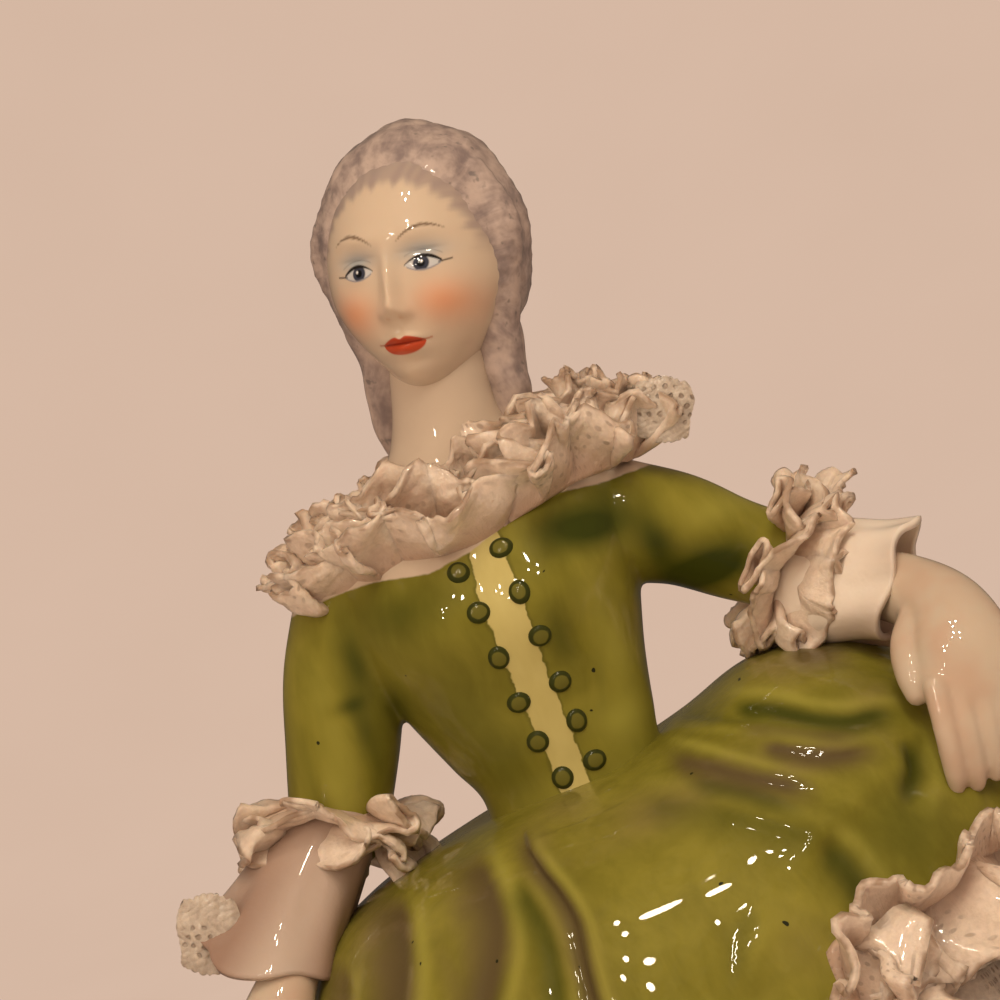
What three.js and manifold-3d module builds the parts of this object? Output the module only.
// A porcelain lady in a green rococo gown, with ruffles of lace dipped in slip, on a low oval plinth.
// She is one fired piece. Millimetres, +Z up, her front towards -Y, her left hand towards +X, and the
// origin at the middle of the underside of the plinth.
import * as THREE from "three";
import { mergeVertices } from "three/addons/utils/BufferGeometryUtils.js";
import Module from "manifold-3d";

const wasm = await Module();
wasm.setup();

// Driving dimensions
const WAIST_HEIGHT = 124;
const PLINTH_HEIGHT = 8;
const PLINTH_HALF_WIDTH = 60;
const PLINTH_HALF_DEPTH = 57;
const SHOULDER_HEIGHT = 21; // above the waist, as are all the heights below
const NECKLINE_HEIGHT = 23.5;
const HEAD_CENTRE = new THREE.Vector3(2.6, -0.6, 49.4);
const HEAD_TURN = -18; // degrees, towards her right
const HEAD_TILT = 11; // degrees, towards her left shoulder
const HALF_FACE_WIDTH = 7.5;
const CHIN_DROP = 12;
const LONG_HEM = -90;
const LIFTED_HEM = -13;

const DEGREE = Math.PI / 180;
const { smoothstep, lerp } = THREE.MathUtils;

// The shape of a bell curve at a distance from its middle
const bump = (distance, width) => Math.exp(-((distance / width) ** 2));

// A closed geometry as a manifold solid, turned right side out
function solid(geometry) {
  const bare = new THREE.BufferGeometry().setAttribute("position", geometry.attributes.position);
  if (geometry.index) bare.setIndex(geometry.index);
  const merged = mergeVertices(bare, 1e-4);
  const corners = merged.attributes.position.array;
  const faces = new Uint32Array(merged.index.array);
  let volume = 0;
  const [a, b, c] = [new THREE.Vector3(), new THREE.Vector3(), new THREE.Vector3()];
  for (let i = 0; i < faces.length; i += 3) {
    a.fromArray(corners, 3 * faces[i]);
    b.fromArray(corners, 3 * faces[i + 1]);
    c.fromArray(corners, 3 * faces[i + 2]);
    volume += a.dot(b.cross(c));
  }
  if (volume < 0) faces.reverse();
  return new wasm.Manifold(new wasm.Mesh({ numProp: 3, vertProperties: corners, triVerts: faces }));
}

// A skin through closed rings of equal numbers of points, with both ends closed by fans
function loft(rings) {
  const count = rings[0].length;
  const middle = (ring) => ring.reduce((sum, p) => sum.add(p), new THREE.Vector3()).divideScalar(count);
  const points = [...rings.flat(), middle(rings[0]), middle(rings.at(-1))];
  const faces = [];
  const last = (rings.length - 1) * count;
  for (let j = 0; j < count; j++) {
    const next = (j + 1) % count;
    for (let i = 0; i < last; i += count) {
      faces.push(i + j, i + next, i + count + j, i + next, i + count + next, i + count + j);
    }
    faces.push(next, j, points.length - 2, last + j, last + next, points.length - 1);
  }
  return solid(new THREE.BufferGeometry().setFromPoints(points).setIndex(faces));
}

// A limb or lock along a smooth path. Each stop is [x, y, z, radius], and flat narrows it across.
function limb(stops, sides, steps, flat = 1) {
  const curve = new THREE.CatmullRomCurve3(stops.map(([x, y, z]) => new THREE.Vector3(x, y, z)));
  const frames = curve.computeFrenetFrames(steps, false);
  const rings = [];
  for (let i = 0; i <= steps; i++) {
    const along = (i / steps) * (stops.length - 1);
    const k = Math.min(Math.floor(along), stops.length - 2);
    const radius = lerp(stops[k][3], stops[k + 1][3], along - k);
    const centre = curve.getPoint(i / steps);
    const ring = [];
    for (let j = 0; j < sides; j++) {
      const a = (j / sides) * 2 * Math.PI;
      ring.push(
        centre
          .clone()
          .addScaledVector(frames.normals[i], radius * Math.cos(a))
          .addScaledVector(frames.binormals[i], radius * flat * Math.sin(a)),
      );
    }
    rings.push(ring);
  }
  return loft(rings);
}

// Torso and neck: [height, middle x, half width, front depth, back depth]
const TORSO = [
  [-6, 0.3, 10, 8.2, 8],
  [0, 0, 8.8, 7.3, 6.8],
  [4, -0.6, 9.9, 7.9, 7],
  [9, -1.2, 11.5, 9, 7.3],
  [14, -1.5, 13.2, 10.4, 7.6],
  [17.5, -1.5, 14.2, 10.7, 7.6],
  [21, -1.5, 15, 9.8, 7.4],
  [24.5, -1.4, 15.2, 8.2, 7],
  [27.5, -1.2, 13, 6.6, 6.3],
  [30, -1, 9.2, 5.6, 5.6],
  [32.5, -0.7, 6.4, 5, 5.2],
  [36, 0.1, 5.1, 4.6, 5],
  [42, 1.6, 4.8, 4.2, 4.8],
];
const TORSO_SIDES = 18;
const torso = loft(
  TORSO.map(([z, middle, width, front, back]) =>
    Array.from({ length: TORSO_SIDES }, (_, j) => {
      const a = (j / TORSO_SIDES) * 2 * Math.PI;
      const depth = Math.sin(a) > 0 ? back : front;
      return new THREE.Vector3(middle + width * Math.cos(a), depth * Math.sin(a), z);
    }),
  ),
);

// Head: an egg pushed and pulled like clay, in its own frame, facing -Y
const CLAY = [
  // [x, z, width, height, push forwards]
  [0, -10.2, 2.4, 1.9, 1.5], // chin
  [0, -7.2, 2.6, 1.7, 0.9], // mouth
  [0, -4.7, 1.15, 1.5, 2.2], // tip of the nose
  [0, -1.6, 0.9, 2.6, 1.1], // bridge of the nose
  [3.05, -0.4, 1.8, 1.5, -0.8], // eye sockets
  [-3.05, -0.4, 1.8, 1.5, -0.8],
  [4.2, -4.2, 2.2, 2.2, 0.5], // cheeks
  [-4.2, -4.2, 2.2, 2.2, 0.5],
];
function headPoint(v) {
  const jaw = 1 - 0.3 * smoothstep(-v.z, 0.1, 1);
  const p = new THREE.Vector3(v.x * HALF_FACE_WIDTH * jaw, v.y * 9.2, v.z * (v.z < 0 ? CHIN_DROP : 11));
  if (v.y < 0) {
    const facing = Math.min(1, -v.y * 1.5);
    for (const [x, z, width, height, push] of CLAY) {
      p.y -= push * facing * bump(p.x - x, width) * bump(p.z - z, height);
    }
  }
  p.y += 2.4 * smoothstep(-v.z, 0.35, 1) * (v.y > 0 ? -1 : 0);
  return p;
}
function shaped(geometry, move) {
  const at = geometry.attributes.position;
  const v = new THREE.Vector3();
  for (let i = 0; i < at.count; i++) {
    v.fromBufferAttribute(at, i);
    const p = move(v);
    at.setXYZ(i, p.x, p.y, p.z);
  }
  return geometry;
}
const skull = solid(shaped(new THREE.SphereGeometry(1, 20, 18), headPoint));

// Hair: a waved cap swept back from the face, two rolls over each ear and curls down the nape
const HAIR_HALF = new THREE.Vector3(10, 10, 11.7);
const HAIR_MIDDLE = new THREE.Vector3(-0.2, 2.4, 1.7);
const HAIR_WAVES = 9;
const cap = solid(
  shaped(new THREE.SphereGeometry(1, 26, 12).rotateX(Math.PI / 2), (v) => {
    const wave = 1 + 0.03 * Math.sin(HAIR_WAVES * Math.atan2(v.z, v.x));
    return v.clone().multiply(HAIR_HALF).multiplyScalar(wave).add(HAIR_MIDDLE);
  }),
);
const rolls = [];
for (const side of [-1, 1]) {
  for (const [z, out, size] of [
    [1.4, 8.4, 2.3],
    [-3, 7.8, 2.1],
  ]) {
    const front = [side * (out - 0.8), -3, z, size * 0.5];
    const back = [side * (out - 0.4), 3.4, z + 0.6, size * 0.8];
    rolls.push(limb([front, [side * out, -0.4, z, size], back], 8, 5));
  }
}
const NAPE_CURLS = 5;
for (let i = 0; i < NAPE_CURLS; i++) {
  const across = lerp(-5.8, 5.8, i / (NAPE_CURLS - 1));
  const back = 6.6 - 0.09 * across * across;
  const curl = [
    [across, back - 1.5, 0, 1.6],
    [across * 1.08, back + 0.3, -6.5, 2.1],
    [across * 1.15, back - 0.2, -12.5, 1.7],
    [across, back - 0.8, -16.5, 0.9],
  ];
  rolls.push(limb(curl, 7, 5));
}
const head = wasm.Manifold.union([skull, cap, ...rolls])
  .rotate([0, 0, HEAD_TURN])
  .rotate([0, HEAD_TILT, 0])
  .translate(HEAD_CENTRE.toArray());

// Gathered lace: rings of columns that go in and out by turns. Each row of the profile is
// [distance out, distance along, wave], and place puts a point into the figure.
const pleat = (j, size) => (j % 2 ? -size : size);
function gathered(count, profile, place) {
  return loft(
    profile.map(([out, along, wave]) =>
      Array.from({ length: count }, (_, j) => place((j / count) * 2 * Math.PI, out + pleat(j, wave), along)),
    ),
  );
}

// Shoulder ruffle: a deep frill of lace round the low neckline, higher over her left shoulder
const COLLAR_COLUMNS = 40;
const COLLAR_PROFILE = [
  [0.2, 0.3, 0],
  [2.6, -1, 1.1],
  [3.6, 1.6, 1.2],
  [2.2, 4.6, 0.9],
  [2.2, 7.6, 1.3],
  [0.4, 7.4, 1.2],
  [-1.4, 4, 0.4],
  [-3, 2, 0],
];
const collar = gathered(COLLAR_COLUMNS, COLLAR_PROFILE, (a, out, along) => {
  const [c, s] = [Math.cos(a), Math.sin(a)];
  const depth = s > 0 ? 6.6 : 9;
  const slope = 1.6 * c - (c < 0 ? 1.4 : 0.4) * Math.abs(c) ** 3;
  const dip = s < 0 ? 1.2 * bump(c, 0.35) : 0;
  const height = NECKLINE_HEIGHT + along + slope - dip;
  return new THREE.Vector3(-0.6 + (17.9 + out) * c, (depth + out) * s, height);
});

// Sleeves end at the elbow in a frill and a smooth bell, from which the forearm comes
const ARMS = [
  {
    sleeve: [
      [-14, 0.6, SHOULDER_HEIGHT, 6],
      [-17.2, 1, 15.5, 5.8],
      [-19.6, 1.2, 9.5, 5.4],
      [-22.3, 1, 3, 4.7],
    ],
    forearm: [
      [-22, 1, 4, 3.4],
      [-26.4, -3.5, -1.6, 3.1],
      [-30.6, -9, -7.4, 2.5],
    ],
    outward: new THREE.Vector3(-1, 0, 0.2),
    bell: { length: 10.5, longer: 2.4, reach: 8.2, wider: 2.8 },
    palm: [
      [-30, -8.4, -6.8, 2.3],
      [-32.4, -12, -10, 3.4],
      [-34.2, -14.6, -13.6, 3.7],
      [-35.4, -16, -16.4, 2.8],
    ],
    fingers: new THREE.Vector3(-1, -1.6, -7.6),
    knuckle: new THREE.Vector3(-35.2, -15.8, -15.6),
    across: new THREE.Vector3(-0.75, 0.62, 0.1),
    thumb: [
      [-31.2, -12.4, -10, 1.4],
      [-30.4, -15.4, -13.4, 1.3],
      [-30.2, -16.8, -16.6, 0.8],
    ],
  },
  {
    sleeve: [
      [12.4, 0.6, SHOULDER_HEIGHT - 0.5, 5.8],
      [17, 1.2, 18, 5.3],
      [21.4, 1.8, 14.4, 4.8],
      [26.4, 1.6, 10.9, 4.5],
    ],
    forearm: [
      [25.6, 1.8, 11.4, 3.4],
      [30, -4, 9.2, 3.2],
      [34.2, -10.4, 6.2, 2.6],
    ],
    outward: new THREE.Vector3(0.5, 0, 1),
    bell: { length: 8.5, longer: 5, reach: 6.4, wider: 0 },
    palm: [
      [33.4, -9.6, 6.4, 2.3],
      [36.4, -13.4, 5, 3.4],
      [37.4, -16.4, 0.4, 4],
      [36.8, -17.8, -3.4, 3.2],
    ],
    fingers: new THREE.Vector3(-2.2, -1.2, -8),
    knuckle: new THREE.Vector3(36.9, -17.4, -2.6),
    across: new THREE.Vector3(0.9, 0.4, 0.1),
    thumb: [
      [33.8, -13.2, 3.2, 1.4],
      [31.9, -16.2, 0.6, 1.3],
      [31.1, -17.4, -2.8, 0.8],
    ],
  },
];
const CUFF_COLUMNS = 18;
const FRILL_PROFILE = [
  [3.6, -3, 0],
  [7, -3.2, 0.8],
  [8.2, -0.8, 1.1],
  [7.4, 2.4, 1.1],
  [4, 3.2, 0],
];
// Shares of the bell's reach and length, then its wave in millimetres
const BELL_PROFILE = [
  [0, -0.1, 0],
  [0.5, 0.25, 0.2],
  [0.85, 0.65, 0.4],
  [1, 1, 0.6],
  [0.86, 0.98, 0.6],
  [0.3, 0.75, 0.1],
];
const FINGERS = 4;
const FINGER_PITCH = 2;
function arm({ sleeve, forearm, outward, bell, palm, fingers, knuckle, across, thumb }) {
  const stops = [sleeve.at(-1), sleeve.at(-2), forearm.at(-1)];
  const [elbow, above, wrist] = stops.map(([x, y, z]) => new THREE.Vector3(x, y, z));
  const pieces = [limb(sleeve, 12, 6), limb(forearm, 10, 4), limb(palm, 9, 5, 0.62), limb(thumb, 6, 4)];

  const around = (axis) => {
    const out = outward.clone().addScaledVector(axis, -outward.dot(axis)).normalize();
    return [out, new THREE.Vector3().crossVectors(axis, out)];
  };
  const down = elbow.clone().sub(above).normalize();
  const [frillOut, frillSide] = around(down);
  pieces.push(
    gathered(CUFF_COLUMNS, FRILL_PROFILE, (a, out, along) =>
      elbow
        .clone()
        .addScaledVector(down, along)
        .addScaledVector(frillOut, out * Math.cos(a))
        .addScaledVector(frillSide, out * Math.sin(a)),
    ),
  );

  const forward = wrist.clone().sub(elbow).normalize();
  const [bellOut, bellSide] = around(forward);
  const rings = BELL_PROFILE.map(([share, along, wave]) =>
    Array.from({ length: CUFF_COLUMNS }, (_, j) => {
      const a = (j / CUFF_COLUMNS) * 2 * Math.PI;
      const radius = lerp(3.6, bell.reach + bell.wider * Math.cos(a), share) + pleat(j, wave);
      return elbow
        .clone()
        .addScaledVector(forward, along * (bell.length + bell.longer * Math.cos(a)))
        .addScaledVector(bellOut, radius * Math.cos(a))
        .addScaledVector(bellSide, radius * Math.sin(a));
    }),
  );
  pieces.push(loft(rings));

  for (let i = 0; i < FINGERS; i++) {
    const root = knuckle.clone().addScaledVector(across, (i - (FINGERS - 1) / 2) * FINGER_PITCH);
    const reach = 1 - 0.06 * Math.abs(i - 1.4);
    const stop = (share, lift, size) => {
      const p = root.clone().addScaledVector(fingers, share * reach);
      return [p.x, p.y + lift, p.z, size];
    };
    const finger = [
      stop(-0.15, 0.4, 1.25),
      stop(0.4, -0.6, 1.3),
      stop(0.8, -0.2, 1.15),
      stop(1.05, 0.5, 0.7),
    ];
    pieces.push(limb(finger, 6, 4));
  }
  return wasm.Manifold.union(pieces);
}

// Gown: [distance from the axis, height] from waist to floor, on her four sides
const GOWN = {
  left: [
    [8, 0.5],
    [13.5, 2.6],
    [20, 4.6],
    [28.5, 3],
    [35.5, -3],
    [40, -14],
    [43.5, -34],
    [48.5, -70],
    [53, -118],
  ],
  right: [
    [8, -1.2],
    [15, -2.6],
    [22.5, -5.4],
    [28.5, -9.8],
    [33.5, -17],
    [38, -29],
    [43, -48],
    [48.5, -78],
    [53, -118],
  ],
  front: [
    [6.6, -0.6],
    [13, -2],
    [20, -4.6],
    [26, -9.4],
    [31, -17],
    [35.5, -30],
    [40.5, -50],
    [46, -80],
    [50, -118],
  ],
  back: [
    [6.2, 0],
    [14, -0.8],
    [22, -3.2],
    [28.5, -8.5],
    [34, -17],
    [38.5, -30],
    [43, -50],
    [47.5, -80],
    [51, -118],
  ],
};
const curveOf = (rows) => new THREE.CatmullRomCurve3(rows.map(([r, z]) => new THREE.Vector3(r, z, 0)));
const sides = { left: curveOf(GOWN.left), right: curveOf(GOWN.right) };
const faces = { front: curveOf(GOWN.front), back: curveOf(GOWN.back) };
const FOLDS = 16;
const FOLD_DEPTH = 0.035;

// A point of the gown at an angle from her front towards her left, t from 0 at the waist to 1 at the
// floor, scaled out from the axis
function gownPoint(angle, t, scale = 1) {
  const [s, c] = [Math.sin(angle), Math.cos(angle)];
  const across = sides[s > 0 ? "left" : "right"].getPoint(t);
  const depth = faces[c > 0 ? "front" : "back"].getPoint(t);
  const phase = FOLDS * angle + 1.5 * Math.sin(2 * angle) + 0.6;
  const out = scale + FOLD_DEPTH * smoothstep(t, 0.08, 0.8) * Math.sin(phase);
  return new THREE.Vector3(across.x * s * out, -depth.x * c * out, across.y * s * s + depth.y * c * c);
}
function stationAt(angle, height) {
  let [low, high] = [0.2, 1];
  for (let i = 0; i < 24; i++) {
    const t = (low + high) / 2;
    if (gownPoint(angle, t).z > height) low = t;
    else high = t;
  }
  return (low + high) / 2;
}

// The overskirt, which the left hand lifts: it hangs long all round but for her left side
const HEM_EDGE = [16, 25]; // degrees, where the front panel hangs straight down
const HEM_SWEEP = [98, 170]; // degrees, where it falls to the back
function hemHeight(angle) {
  const degrees = angle / DEGREE;
  const lifted = smoothstep(degrees, ...HEM_EDGE) * (1 - smoothstep(degrees, ...HEM_SWEEP));
  return lerp(LONG_HEM, LIFTED_HEM, lifted) - 5 * (1 - smoothstep(degrees, 25, 60)) * lifted;
}
const SKIRT_COLUMNS = 56;
const SKIRT_ROWS = 9;
const angles = Array.from({ length: SKIRT_COLUMNS }, (_, j) => (j / SKIRT_COLUMNS) * 2 * Math.PI);
const overskirtRings = [];
for (let i = 0; i <= SKIRT_ROWS; i++) {
  overskirtRings.push(angles.map((a) => gownPoint(a, (stationAt(a, hemHeight(a)) * i) / SKIRT_ROWS)));
}
const TRIM_DROP = 6;
for (const [drop, out, wave] of [
  [1.5, 0.05, 0.02],
  [TRIM_DROP, 0.06, 0.03],
  [TRIM_DROP, -0.04, 0],
]) {
  overskirtRings.push(
    angles.map((a, j) => gownPoint(a, stationAt(a, hemHeight(a) - drop), 1 + out + pleat(j, wave))),
  );
}

// The petticoat under it, from waist to plinth, in gathered tiers of lace
const TIERS = 7;
const TIER_TOP = -10;
const TIER_DROP = (TIER_TOP + WAIST_HEIGHT - PLINTH_HEIGHT + 2) / TIERS;
const petticoatRings = [angles.map((a) => gownPoint(a, stationAt(a, TIER_TOP + 3), 0.6))];
for (let i = 0; i < TIERS; i++) {
  const top = TIER_TOP - i * TIER_DROP;
  petticoatRings.push(
    angles.map((a, j) => gownPoint(a, stationAt(a, top), 0.88 + pleat(j, 0.004))),
    angles.map((a, j) => gownPoint(a, stationAt(a, top - 0.94 * TIER_DROP), 0.94 + pleat(j + i, 0.022))),
  );
}

// Plinth: a low oval with a rounded foot and a step, in world height
const PLINTH_PROFILE = [
  [0, 0],
  [0.96, 0],
  [1, 0.2],
  [1, 0.42],
  [0.95, 0.55],
  [0.955, 0.7],
  [0.93, 0.9],
  [0.88, 1],
  [0, 1],
];
const plinth = solid(
  new THREE.LatheGeometry(
    PLINTH_PROFILE.map(([r, z]) => new THREE.Vector2(r, z * PLINTH_HEIGHT)),
    36,
  )
    .rotateX(Math.PI / 2)
    .scale(PLINTH_HALF_WIDTH, PLINTH_HALF_DEPTH, 1),
);

const gown = [loft(overskirtRings), loft(petticoatRings)];
const figure = wasm.Manifold.union([torso, head, collar, ...ARMS.map(arm), ...gown])
  .translate([0, 0, WAIST_HEIGHT])
  .add(plinth);

// A manifold solid as a three.js geometry
function geometryOf(made) {
  const mesh = made.getMesh();
  const corners = new Float32Array(mesh.numVert * 3);
  for (let i = 0; i < mesh.numVert; i++) {
    const start = i * mesh.numProp;
    corners.set(mesh.vertProperties.subarray(start, start + 3), i * 3);
  }
  return new THREE.BufferGeometry()
    .setAttribute("position", new THREE.BufferAttribute(corners, 3))
    .setIndex(new THREE.BufferAttribute(mesh.triVerts, 1));
}

const porcelain = new THREE.MeshStandardMaterial({ color: 0xece0d2, roughness: 0.15, metalness: 0 });
const figurine = new THREE.Mesh(geometryOf(figure), porcelain);
figurine.name = "figurine";

const group = new THREE.Group();
group.add(figurine);
export default group;
